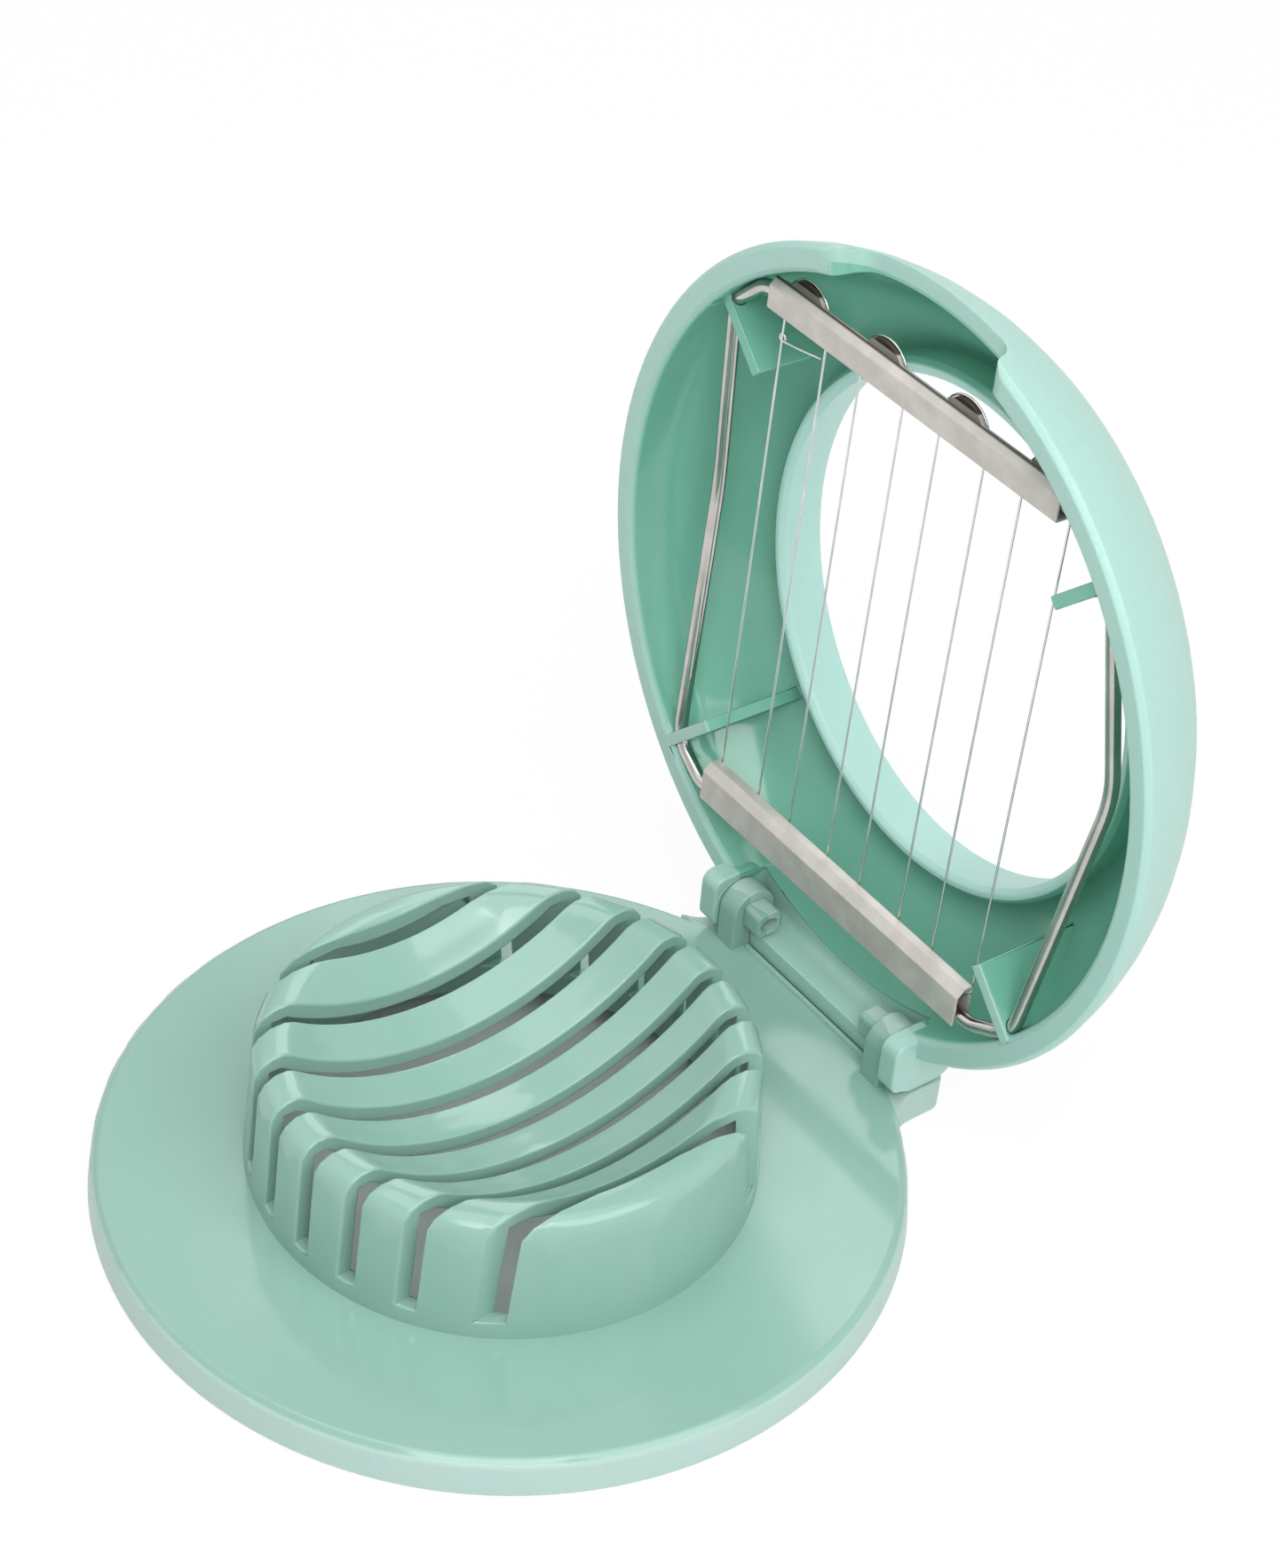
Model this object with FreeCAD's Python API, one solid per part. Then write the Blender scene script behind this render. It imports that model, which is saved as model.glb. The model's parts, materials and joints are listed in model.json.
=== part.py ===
import FreeCAD, Part
import math
import os

# Egg slicer: a round base with a slotted cradle, and a hinged lid that carries a frame of cutting wires.
# Sizes are millimetres and degrees. +X runs along the hinge, +Y points to the hinge, +Z is up.
# Pieces are drawn about the plate's axis with the wires level, then the lid is opened and the part centred.

# Base plate
plate_radius = 54.5
plate_height = 5.5
plate_flare = 0.5
plate_edge = 1.0
base_wall = 2.2

# Egg cradle, measured above the plate
cradle_radius = 34.5
cradle_height = 19.0
cradle_draft = 3.5
cradle_shoulder = 3.4
shoulder_flats = 3
dish_height = 7.4
slot_width = 2.45
slot_sill = 2.6

# Hinge
hinge_reach = 53.2
hinge_height = 5.8
pin_radius = 1.7
pin_clearance = 0.05
ear_inside = 14.8
ear_thickness = 3.5
ear_radius = 3.5
hinge_side_gap = 0.35
hinge_swing_gap = 0.4
tongue_length = 6.3
tongue_corner = 2.0
tongue_blend = 6.0
recess_start = 0.9
recess_depth = 1.0

# Lid shell, measured from its rim when the rim is level
lid_half_width = 54.2
lid_half_length = 57.7
lid_height = 23.0
lid_bow = 31.0
bow_flats = 8
lid_wall = 2.4
rim_lip = 1.6
rim_bevel = 0.8
rim_drop = 0.6
window_radius = 34.2
window_flare = 1.2
collar_depth = 8.6
collar_wall = 2.2
thumb_flat = 11.0
thumb_slope = 6.5
thumb_height = 5.0

# Hinge block of the lid
lug_thickness = 3.3
lug_radius = 4.2
block_reach = 5.0
block_height = 7.0
block_round = 3.0

# Fins inside the lid that hold the rods
fin_thickness = 1.8
fin_clearance = 1.35
fin_cover = 0.5

# Wire frame
frame_tilt = 1.7
frame_height = 4.2
hook_count = 4
wire_radius = 0.2
wire_sides = 6
wire_spread = 0.725
wire_bend = 0.6
wire_tail = 1.2
hook_back = 1.1
hook_lip = 0.15
sheet = 0.35
seat_gap = 0.05
bar_margin = 0.425
bar_bevel = 1.0
front_bar_width = 4.3
hinge_bar_width = 6.0
flange_short = 0.9
rod_radius = 1.0
rod_sides = 12
rod_bend = 5.0
rod_bow_bend = 25.0
rod_grip = 9.0
rod_lead = 2.0

# Places of the wire frame, measured in from the lid's sides, its front and the hinge
bar_inset = 26.2
front_bar_inset = 14.0
hinge_bar_inset = 12.3
rod_rear_inset = (17.6, 16.6)
rod_rear_height = 6.4
rod_bow_inset = 13.8
rod_bow_back = 4.0
rod_bow_height = 11.0
rod_front_inset = (17.4, 22.1)
rod_front_height = 6.6

# Values that follow from the sizes above
plate_top = plate_height
hinge_z = plate_top + hinge_height
bar_half_length = lid_half_width - bar_inset
hook_pitch = (bar_half_length - bar_margin - wire_spread / 2) / (hook_count / 2 - 0.25)
wire_pair = hook_pitch / 2 + wire_spread
slot_pitch = hook_pitch / 2
slot_count = 2 * hook_count
front_bar_outer = front_bar_inset - lid_half_length
front_bar_inner = front_bar_outer + front_bar_width
hook_place = front_bar_inner - hook_back
hinge_bar_outer = hinge_reach - hinge_bar_inset
hinge_bar_inner = hinge_bar_outer - hinge_bar_width
lug_inside = ear_inside + ear_thickness + hinge_side_gap
hinge_half_width = lug_inside + lug_thickness
rim_z = hinge_z - rim_drop
face_z = plate_top + frame_height
rod_seat_z = face_z + sheet + seat_gap + rod_radius
flange_z = rod_seat_z + rod_radius + seat_gap
wire_z = flange_z + sheet + seat_gap + wire_radius
beyond = 2 * (lid_half_length + hinge_reach)

up = FreeCAD.Vector(0, 0, 1)
across = FreeCAD.Vector(1, 0, 0)
along = FreeCAD.Vector(0, 1, 0)
plate_axis = FreeCAD.Vector(0, 0, 0)
hinge_point = FreeCAD.Vector(0, hinge_reach, hinge_z)
rod_rear_corner = FreeCAD.Vector(
    lid_half_width - rod_rear_inset[0], hinge_reach - rod_rear_inset[1], plate_top + rod_rear_height)
rod_bow = FreeCAD.Vector(lid_half_width - rod_bow_inset, -rod_bow_back, plate_top + rod_bow_height)
rod_front_corner = FreeCAD.Vector(
    lid_half_width - rod_front_inset[0], rod_front_inset[1] - lid_half_length, plate_top + rod_front_height)


def section_point(radius, height):
    return FreeCAD.Vector(radius, 0, height)


def side_point(y, z):
    return FreeCAD.Vector(0, y, z)


def arc_about(centre, start, end):
    # The shorter arc about centre from start to end.
    middle = (start - centre) + (end - centre)
    middle.normalize()
    middle.multiply((start - centre).Length)
    return Part.Arc(start, centre + middle, end).toShape()


def line(start, end):
    return Part.makeLine(start, end)


def face_of(edges):
    return Part.Face(Part.Wire(edges))


def spun_polygon(corners):
    return Part.Face(Part.makePolygon(corners + corners[:1])).revolve(plate_axis, up, 360)


def box_between(x_range, y_range, z_range):
    size = [high - low for low, high in (x_range, y_range, z_range)]
    corner = FreeCAD.Vector(x_range[0], y_range[0], z_range[0])
    return Part.makeBox(size[0], size[1], size[2], corner)


def mirrored(shape):
    return shape.mirror(plate_axis, across)


def turned(shape, angle):
    # Turns a piece of the lid about the hinge; a positive angle closes it.
    copy = shape.copy()
    copy.rotate(hinge_point, across, angle)
    return copy


def rounded_path(points, bends):
    # Straight runs joined by tangent arcs, one bend radius for each inner point.
    edges = []
    start = points[0]
    for before, corner, after, bend in zip(points, points[1:], points[2:], bends):
        inward = (before - corner).normalize()
        outward = (after - corner).normalize()
        half_angle = inward.getAngle(outward) / 2
        setback = bend / math.tan(half_angle)
        bisector = (inward + outward).normalize()
        centre = corner + bisector * (bend / math.sin(half_angle))
        arc_start = corner + inward * setback
        arc_end = corner + outward * setback
        if (arc_start - start).Length > wire_radius:
            edges.append(line(start, arc_start))
        edges.append(arc_about(centre, arc_start, arc_end))
        start = arc_end
    edges.append(line(start, points[-1]))
    return Part.Wire(edges)


def bent_bar(points, bends, radius, sides):
    # Bar swept along a bent path, its round section drawn with the given number of sides.
    ring = Part.Circle(points[0], points[1] - points[0], radius)
    corners = [ring.value(2 * math.pi * index / sides) for index in range(sides)]
    section = Part.makePolygon(corners + corners[:1])
    return rounded_path(points, bends).makePipeShell([section], True, False)


# Base

def cradle_form(depth, foot_z, facings):
    # Solid under the cradle's skin, depth inside it. The shoulder is worked in flats that face the given angles.
    draft = math.radians(cradle_draft)
    shoulder_z = plate_top + cradle_height - cradle_shoulder
    wall_run = (shoulder_z - plate_top) * math.tan(draft)
    shoulder_r = cradle_radius - wall_run - cradle_shoulder / math.cos(draft)
    shoulder_centre = section_point(shoulder_r, shoulder_z)
    dish_low = plate_top + dish_height
    fall = shoulder_z - dish_low
    reach = shoulder_r ** 2 + fall ** 2 - cradle_shoulder ** 2
    dish_radius = reach / (2 * (cradle_shoulder + fall))
    dish_centre = section_point(0, dish_low + dish_radius)
    round_radius = cradle_shoulder - depth
    wall_top = shoulder_centre + facing_point(facings[0], round_radius)
    wall_foot = section_point(wall_top.x + (wall_top.z - foot_z) * math.tan(draft), foot_z)
    corners = [wall_foot]
    for low, high in zip(facings, facings[1:]):
        spread = round_radius / math.cos(math.radians(high - low) / 2)
        corners.append(shoulder_centre + facing_point((low + high) / 2, spread))
    corners.append(corners[-1] + facing_point(facings[-1] + 90, cradle_shoulder))
    corners.append(section_point(0, corners[-1].z))
    corners.append(section_point(0, foot_z))
    dish = Part.makeSphere(dish_radius + depth, dish_centre, across)
    return spun_polygon(corners).cut(dish)


def facing_point(angle, radius):
    return section_point(math.cos(math.radians(angle)), math.sin(math.radians(angle))) * radius


def plate_body():
    corners = [
        plate_axis,
        section_point(0, plate_top),
        section_point(plate_radius - plate_edge, plate_top),
        section_point(plate_radius, plate_top - plate_edge),
        section_point(plate_radius + plate_flare, 0),
    ]
    flat_turn = (90 - cradle_draft) / shoulder_flats
    facings = [cradle_draft + flat_turn * index for index in range(shoulder_flats + 2)]
    return spun_polygon(corners).fuse(cradle_form(0, plate_top - base_wall / 2, facings))


def plate_hollow():
    ceiling = plate_top - base_wall
    corners = [
        plate_axis,
        section_point(0, ceiling),
        section_point(plate_radius - base_wall, ceiling),
        section_point(plate_radius + plate_flare - base_wall, 0),
    ]
    return spun_polygon(corners).fuse(cradle_form(base_wall, ceiling - base_wall / 2, [cradle_draft, 90]))


def tongue_body():
    # Flat tongue under the hinge, blended into the round plate on both sides.
    rear = hinge_reach + tongue_length
    blend_x = hinge_half_width + tongue_blend
    blend_y = math.sqrt((plate_radius + tongue_blend) ** 2 - blend_x ** 2)
    blend_centre = FreeCAD.Vector(blend_x, blend_y, 0)
    on_plate = blend_centre * (plate_radius / (plate_radius + tongue_blend))
    on_side = FreeCAD.Vector(hinge_half_width, blend_y, 0)
    side_end = FreeCAD.Vector(hinge_half_width, rear - tongue_corner, 0)
    corner_centre = side_end - across * tongue_corner
    rear_end = FreeCAD.Vector(hinge_half_width - tongue_corner, rear, 0)
    rear_middle = FreeCAD.Vector(0, rear, 0)
    front_middle = FreeCAD.Vector(0, on_plate.y, 0)
    outline = [
        line(front_middle, on_plate),
        arc_about(blend_centre, on_plate, on_side),
        line(on_side, side_end),
        arc_about(corner_centre, side_end, rear_end),
        line(rear_end, rear_middle),
        line(rear_middle, front_middle),
    ]
    half = face_of(outline).extrude(up * plate_height)
    return half.fuse(mirrored(half))


def tongue_hollow():
    side = hinge_half_width - base_wall
    rear = hinge_reach + tongue_length - base_wall
    return box_between((-side, side), (hinge_reach - ear_radius, rear), (0, plate_top - base_wall))


def tongue_recess():
    # Shallow step between the ears, with a sloped front edge, that clears the lid's lower panel.
    start = hinge_reach - recess_start
    rear = hinge_reach + 2 * tongue_length
    floor_z = plate_top - recess_depth
    corners = [
        side_point(start, plate_top),
        side_point(start + recess_depth, floor_z),
        side_point(rear, floor_z),
        side_point(rear, plate_top),
    ]
    outline = Part.makePolygon(corners + corners[:1])
    half_width = ear_inside - hinge_side_gap
    recess = Part.Face(outline).extrude(across * 2 * half_width)
    recess.translate(across * -half_width)
    return recess


def ear():
    foot_z = plate_top - base_wall / 2
    front_low = side_point(hinge_reach - ear_radius, foot_z)
    front_high = side_point(hinge_reach - ear_radius, hinge_z)
    crown = side_point(hinge_reach, hinge_z + ear_radius)
    rear_high = side_point(hinge_reach + ear_radius, hinge_z)
    rear_low = side_point(hinge_reach + ear_radius, foot_z)
    outline = [
        line(front_low, front_high),
        Part.Arc(front_high, crown, rear_high).toShape(),
        line(rear_high, rear_low),
        line(rear_low, front_low),
    ]
    plate = face_of(outline).extrude(across * ear_thickness)
    bore = Part.makeCylinder(pin_radius + pin_clearance, ear_thickness, hinge_point, across)
    drilled = plate.cut(bore)
    drilled.translate(across * ear_inside)
    return drilled


def slot_places():
    middle = (slot_count - 1) / 2
    return [(index - middle) * slot_pitch for index in range(slot_count)]


def slots():
    half = slot_width / 2
    reach = (-cradle_radius - slot_width, cradle_radius + slot_width)
    rise = (plate_top + slot_sill, plate_top + cradle_height + slot_sill)
    return [box_between((x - half, x + half), reach, rise) for x in slot_places()]


def base():
    body = plate_body().fuse(tongue_body())
    body = body.cut(plate_hollow())
    body = body.cut(tongue_hollow())
    body = body.cut(tongue_recess())
    body = body.fuse([ear(), mirrored(ear())])
    return body.cut(slots()).removeSplitter()


# Lid

def bow_centre():
    # Centre of the arc that the dome's section follows from the rim up to the window.
    low = section_point(lid_half_width, 0)
    high = section_point(window_radius + window_flare, lid_height)
    chord = high - low
    half = chord.Length / 2
    inward = section_point(-chord.z, chord.x).normalize()
    return low + chord * 0.5 + inward * math.sqrt(lid_bow ** 2 - half ** 2)


def bow_radius_at(depth, height):
    centre = bow_centre()
    return centre.x + math.sqrt((lid_bow - depth) ** 2 - (height - centre.z) ** 2)


def bow_height_at(depth, radius):
    centre = bow_centre()
    return centre.z + math.sqrt((lid_bow - depth) ** 2 - (radius - centre.x) ** 2)


def bow_run(start, end):
    # Points along the dome's bow, from start to end, close enough together to read as a curve.
    centre = bow_centre()
    radius = (start - centre).Length
    low = math.degrees(math.atan2(start.z - centre.z, start.x - centre.x))
    high = math.degrees(math.atan2(end.z - centre.z, end.x - centre.x))
    step = (high - low) / bow_flats
    return [centre + facing_point(low + step * index, radius) for index in range(bow_flats + 1)]


def stretched(shape):
    # The lid is an oval: a round form drawn out towards the hinge and the thumb notch.
    matrix = FreeCAD.Matrix()
    matrix.scale(1, lid_half_length / lid_half_width, 1)
    oval = shape.transformGeometry(matrix)
    oval.translate(up * rim_z)
    return oval


def dome_shell():
    rim_side = section_point(bow_radius_at(0, rim_bevel), rim_bevel)
    window_outer = section_point(window_radius + window_flare, lid_height)
    window_side = section_point(window_outer.x + rim_bevel, bow_height_at(0, window_outer.x + rim_bevel))
    crest_z = lid_height - collar_depth
    crest_bevel = collar_wall / 3
    crest_inner = section_point(window_radius, crest_z + crest_bevel)
    crest_outer = section_point(window_radius + collar_wall, crest_z + crest_bevel)
    collar_root = section_point(crest_outer.x, bow_height_at(lid_wall, crest_outer.x))
    lip_radius = bow_radius_at(lid_wall, 0) - rim_lip
    lip_top = section_point(lip_radius, bow_height_at(lid_wall, lip_radius))
    corners = [
        *bow_run(rim_side, window_side),
        window_outer + (crest_inner - window_outer).normalize() * rim_bevel,
        crest_inner,
        section_point(crest_inner.x + crest_bevel, crest_z),
        section_point(crest_outer.x - crest_bevel, crest_z),
        crest_outer,
        *bow_run(collar_root, lip_top),
        section_point(lip_radius, rim_bevel),
        section_point(lip_radius + rim_bevel, 0),
        section_point(lid_half_width - rim_bevel, 0),
    ]
    return stretched(spun_polygon(corners))


def dome_core(depth):
    # Solid space under the dome, bounded depth inside its outer skin.
    low = section_point(bow_radius_at(depth, 0), 0)
    high = section_point(window_radius, bow_height_at(depth, window_radius))
    corners = [plate_axis, *bow_run(low, high), section_point(0, high.z)]
    return stretched(spun_polygon(corners))


def block_form(inset, half_width):
    # Squared housing behind the hinge, with a rounded top rear edge.
    front = hinge_reach - lug_radius - ear_radius
    rear = hinge_reach + block_reach - inset
    top = hinge_z + block_height - inset
    curve = block_round - inset / 2
    round_centre = side_point(rear - curve, top - curve)
    corners = [
        side_point(front, rim_z),
        side_point(rear, rim_z),
        side_point(rear, top - curve),
        side_point(rear - curve, top),
        side_point(front, top),
    ]
    outline = [
        line(corners[0], corners[1]),
        line(corners[1], corners[2]),
        arc_about(round_centre, corners[2], corners[3]),
        line(corners[3], corners[4]),
        line(corners[4], corners[0]),
    ]
    form = face_of(outline).extrude(across * 2 * half_width)
    form.translate(across * -half_width)
    return form


def lug():
    # Rounded side plate of the hinge block with its inward pin.
    middle = hinge_reach + block_reach - lug_radius
    top = hinge_z + block_height / 2
    front = side_point(middle - lug_radius, hinge_z)
    rear = side_point(middle + lug_radius, hinge_z)
    outline = [
        Part.Arc(front, side_point(middle, hinge_z - lug_radius), rear).toShape(),
        line(rear, side_point(rear.y, top)),
        line(side_point(rear.y, top), side_point(front.y, top)),
        line(side_point(front.y, top), front),
    ]
    plate = face_of(outline).extrude(across * lug_thickness)
    plate.translate(across * lug_inside)
    pin_length = ear_thickness + hinge_side_gap
    pin_start = hinge_point + across * (lug_inside - pin_length)
    pin = Part.makeCylinder(pin_radius, pin_length + lug_thickness / 2, pin_start, across)
    return plate.fuse(pin)


def ear_passage():
    # Gap in the lid that lets an ear swing through from closed to open.
    reach = ear_radius + hinge_swing_gap
    x_range = (ear_inside - hinge_side_gap, lug_inside)
    return box_between(x_range, (hinge_reach - reach, beyond), (-beyond, hinge_z + reach))


def thumb_notch():
    # Raised stretch of the front rim with S-shaped ends.
    curve = (thumb_slope ** 2 + thumb_height ** 2) / (4 * thumb_height)
    foot = FreeCAD.Vector(thumb_flat + thumb_slope, 0, rim_z)
    head = FreeCAD.Vector(thumb_flat, 0, rim_z + thumb_height)
    waist = (foot + head) * 0.5
    middle_high = FreeCAD.Vector(0, 0, head.z)
    middle_low = FreeCAD.Vector(0, 0, rim_z - thumb_height)
    foot_low = FreeCAD.Vector(foot.x, 0, middle_low.z)
    outline = [
        line(middle_low, foot_low),
        line(foot_low, foot),
        arc_about(foot + up * curve, foot, waist),
        arc_about(head - up * curve, waist, head),
        line(head, middle_high),
        line(middle_high, middle_low),
    ]
    half = face_of(outline).extrude(along * -beyond)
    half.translate(along * front_bar_outer)
    return half.fuse(mirrored(half))


def fin(place):
    # Radial web that grips a rod where it bends.
    angle = math.atan2(place.y, place.x)
    start = (bar_half_length + fin_clearance) / math.cos(angle)
    half = fin_thickness / 2
    plate = box_between((start, beyond), (-half, half), (place.z - rod_radius - fin_cover, beyond))
    plate.rotate(plate_axis, up, math.degrees(angle))
    return plate


def fins():
    right = [fin(rod_rear_corner), fin(rod_front_corner)]
    return right + [mirrored(web) for web in right]


def lid():
    shell = dome_shell()
    core = dome_core(lid_wall / 2)
    body = shell.fuse(block_form(0, hinge_half_width).cut(core))
    body = body.cut(block_form(lid_wall, lug_inside))
    body = body.cut(thumb_notch())
    body = body.fuse([lug(), mirrored(lug())])
    for passage in (ear_passage(), mirrored(ear_passage())):
        body = body.cut(passage.cut(pin_zone()))
    body = turned(body, frame_tilt)
    room = turned(core, frame_tilt)
    body = body.fuse([web.common(room) for web in fins()])
    rod = side_rod(rod_radius + seat_gap)
    return body.cut([rod, mirrored(rod)]).removeSplitter()


def pin_zone():
    start = hinge_point - across * lug_inside
    return Part.makeCylinder(pin_radius, 2 * lug_inside, start, across)


# Wire frame

def side_rod(radius):
    inner_end = bar_half_length - rod_grip
    rear_seat = hinge_bar_outer - sheet - seat_gap - rod_radius
    front_seat = (front_bar_outer + front_bar_inner) / 2
    points = [
        FreeCAD.Vector(inner_end, rear_seat, rod_seat_z),
        FreeCAD.Vector(bar_half_length + rod_lead, rear_seat, rod_seat_z),
        rod_rear_corner,
        rod_bow,
        rod_front_corner,
        FreeCAD.Vector(bar_half_length + rod_lead, front_seat, rod_seat_z),
        FreeCAD.Vector(inner_end, front_seat, rod_seat_z),
    ]
    bends = [rod_bend, rod_bend, rod_bow_bend, rod_bend, rod_bend]
    return bent_bar(points, bends, radius, rod_sides)


def folded_bar(corners):
    # Sheet strip folded along the given inner line, as long as the bar.
    inner_line = Part.makePolygon([side_point(y, z) for y, z in corners])
    section = inner_line.makeOffset2D(sheet, 0, True, True, False)
    bar = section.extrude(across * 2 * bar_half_length)
    bar.translate(across * -bar_half_length)
    return bar


def hook_places():
    middle = (hook_count - 1) / 2
    return [(index - middle) * hook_pitch for index in range(hook_count)]


def hook(x):
    # Half-moon that a wire loops round.
    radius = wire_pair / 2 - wire_radius - seat_gap
    height = wire_z + wire_radius + hook_lip - flange_z
    place = FreeCAD.Vector(x, hook_place, flange_z)
    disc = Part.makeCylinder(radius, height, place, up)
    outer_half = box_between((x - radius, x + radius), (-beyond, hook_place), (0, beyond))
    return disc.common(outer_half)


def front_bar():
    face = face_z + sheet
    inner = front_bar_inner - sheet
    outline = [
        (front_bar_outer, face + bar_bevel),
        (front_bar_outer + bar_bevel, face),
        (inner, face),
        (inner, flange_z),
        (front_bar_outer + flange_short, flange_z),
    ]
    strip = folded_bar(outline)
    return strip.fuse([hook(x) for x in hook_places()]).removeSplitter()


def wire_ends():
    half = wire_pair / 2
    return [x + side for x in hook_places() for side in (-half, half)]


def wire_hole_place():
    return hinge_bar_inner + 2 * sheet + wire_bend + wire_radius + seat_gap


def hinge_bar():
    face = face_z + sheet
    inner = hinge_bar_inner + sheet
    outline = [
        (hinge_bar_outer - flange_short, flange_z),
        (inner, flange_z),
        (inner, face + bar_bevel),
        (inner + bar_bevel, face),
        (hinge_bar_outer, face),
    ]
    strip = folded_bar(outline)
    hole_radius = wire_radius + seat_gap + wire_bend / 2
    places = [FreeCAD.Vector(x, wire_hole_place() - wire_bend / 2, rod_seat_z) for x in wire_ends()]
    holes = [Part.makeCylinder(hole_radius, beyond, place, up) for place in places]
    return strip.cut(holes)


def cutting_wire(x):
    # One hairpin: two runs joined by a loop round a hook, with tails down into the hinge bar.
    half = wire_pair / 2
    hole = wire_hole_place()
    tip = hook_place - half
    tail_z = wire_z - wire_bend - wire_tail
    points = [
        FreeCAD.Vector(x - half, hole, tail_z),
        FreeCAD.Vector(x - half, hole, wire_z),
        FreeCAD.Vector(x - half, tip, wire_z),
        FreeCAD.Vector(x + half, tip, wire_z),
        FreeCAD.Vector(x + half, hole, wire_z),
        FreeCAD.Vector(x + half, hole, tail_z),
    ]
    return bent_bar(points, [wire_bend, half, half, wire_bend], wire_radius, wire_sides)


def build():
    right = side_rod(rod_radius)
    upper = {
        "lid": lid(),
        "right_rod": right,
        "left_rod": mirrored(right),
        "front_bar": front_bar(),
        "hinge_bar": hinge_bar(),
    }
    for number, x in enumerate(hook_places(), 1):
        upper[f"cutting_wire_{number}"] = cutting_wire(x)
    open_turn = -(90 + frame_tilt)
    pieces = {name: turned(shape, open_turn) for name, shape in upper.items()}
    pieces["base"] = base()
    bounds = Part.makeCompound(list(pieces.values())).optimalBoundingBox(False, False)
    os.makedirs("parts", exist_ok=True)
    for name, shape in pieces.items():
        shape.translate(along * -bounds.Center.y)
        shape.exportStep(f"parts/{name}.step")
    print("centre shift", bounds.Center.y)


build()
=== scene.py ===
import json
import math
import bmesh
import bpy
from mathutils import Matrix, Vector


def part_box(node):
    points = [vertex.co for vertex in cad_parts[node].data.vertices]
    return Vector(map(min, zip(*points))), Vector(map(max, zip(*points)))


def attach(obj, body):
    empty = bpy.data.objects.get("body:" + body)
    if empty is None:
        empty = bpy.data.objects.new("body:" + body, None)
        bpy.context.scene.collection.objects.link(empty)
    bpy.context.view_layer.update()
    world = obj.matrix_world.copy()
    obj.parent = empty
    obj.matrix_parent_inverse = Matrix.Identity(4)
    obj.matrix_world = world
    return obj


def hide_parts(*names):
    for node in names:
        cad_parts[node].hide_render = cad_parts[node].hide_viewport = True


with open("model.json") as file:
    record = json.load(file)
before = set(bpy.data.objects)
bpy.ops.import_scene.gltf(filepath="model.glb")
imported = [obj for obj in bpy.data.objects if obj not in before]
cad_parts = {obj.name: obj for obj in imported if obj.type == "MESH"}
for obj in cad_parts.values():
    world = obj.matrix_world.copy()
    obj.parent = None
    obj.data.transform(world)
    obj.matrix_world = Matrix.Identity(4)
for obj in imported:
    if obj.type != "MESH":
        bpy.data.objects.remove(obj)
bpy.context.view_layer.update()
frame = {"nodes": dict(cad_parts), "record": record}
nodes = frame["nodes"]
mm = 0.001
hinge = frame["record"]["behaviour"]["joints"][0]["pos_m"]
baseLow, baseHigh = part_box("base")
plateRadius = (baseHigh[0] - baseLow[0]) / 2
plateY = baseLow[1] + plateRadius
print("stage: frame loaded")


def addNode(tree, kind, **values):
    node = tree.nodes.new(kind)
    for key, value in values.items():
        setattr(node, key, value)
    return node


def newMaterial(name):
    material = bpy.data.materials.new(name)
    material.use_nodes = True
    tree = material.node_tree
    for node in list(tree.nodes):
        tree.nodes.remove(node)
    output = addNode(tree, "ShaderNodeOutputMaterial")
    shader = addNode(tree, "ShaderNodeBsdfPrincipled")
    tree.links.new(shader.outputs[0], output.inputs[0])
    return material, tree, shader


def objectPoint(tree):
    return addNode(tree, "ShaderNodeTexCoord").outputs["Object"]


def axes(tree):
    split = addNode(tree, "ShaderNodeSeparateXYZ")
    tree.links.new(objectPoint(tree), split.inputs[0])
    return split.outputs


def mathNode(tree, operation, *values):
    node = addNode(tree, "ShaderNodeMath", operation=operation)
    for slot, value in zip(node.inputs, values):
        if isinstance(value, (int, float)):
            slot.default_value = value
        else:
            tree.links.new(value, slot)
    return node.outputs[0]


# distance from the origin of two values
def spanNode(tree, first, second):
    squares = [mathNode(tree, "POWER", value, 2) for value in (first, second)]
    return mathNode(tree, "SQRT", mathNode(tree, "ADD", *squares))


def rangeNode(tree, value, low, high, outLow, outHigh):
    node = addNode(tree, "ShaderNodeMapRange", interpolation_type="SMOOTHSTEP")
    tree.links.new(value, node.inputs[0])
    for slot, number in zip(node.inputs[1:5], (low, high, outLow, outHigh)):
        slot.default_value = number
    return node.outputs[0]


def noiseNode(tree, point, scale, detail, roughness=0.5):
    node = addNode(tree, "ShaderNodeTexNoise")
    tree.links.new(point, node.inputs["Vector"])
    node.inputs["Scale"].default_value = scale
    node.inputs["Detail"].default_value = detail
    node.inputs["Roughness"].default_value = roughness
    return node.outputs["Fac"]


def mixColour(tree, factor, first, second, blend="MIX"):
    node = addNode(tree, "ShaderNodeMix", data_type="RGBA", blend_type=blend)
    tree.links.new(factor, node.inputs[0])
    for slot, value in zip(node.inputs[6:8], (first, second)):
        if isinstance(value, tuple):
            slot.default_value = value
        else:
            tree.links.new(value, slot)
    return node.outputs[2]


def bumpNode(tree, height, strength, distance, normal=None):
    node = addNode(tree, "ShaderNodeBump")
    node.inputs["Strength"].default_value = strength
    node.inputs["Distance"].default_value = distance
    tree.links.new(height, node.inputs["Height"])
    if normal is not None:
        tree.links.new(normal, node.inputs["Normal"])
    return node.outputs[0]


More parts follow.
